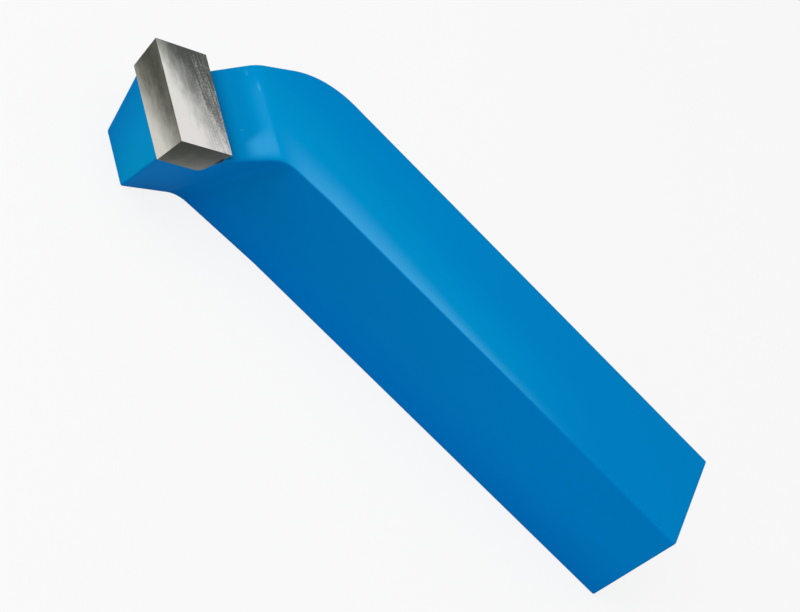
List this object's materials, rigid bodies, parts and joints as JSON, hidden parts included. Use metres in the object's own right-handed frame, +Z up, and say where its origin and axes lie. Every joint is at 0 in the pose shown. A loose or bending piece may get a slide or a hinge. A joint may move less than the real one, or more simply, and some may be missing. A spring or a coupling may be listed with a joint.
{
  "type": "brazed carbide lathe tool",
  "caption": "Square-shank turning tool with a bent, relieved head and a ground carbide plate brazed into its open seat behind a sloping chip ramp, painted blue.",
  "frame": {"origin": "middle of the seating face under the shank, half way along the shank's 96 mm straight length", "axes": "+X along the shank towards the cutting end, +Y to the side the head bends to, +Z up from the seating face, with the main cutting edge level at Z = 25 mm"},
  "size_m": [0.14, 0.0419, 0.025],
  "materials": {
    "blue_paint": "semi-gloss sprayed enamel",
    "ground_carbide": "ground cemented carbide",
    "copper_braze": "dull copper braze"
  },
  "bodies": {
    "root": {"shank": "blue_paint", "carbide_tip": "ground_carbide", "braze_layer": "copper_braze"}
  },
  "joints": []
}
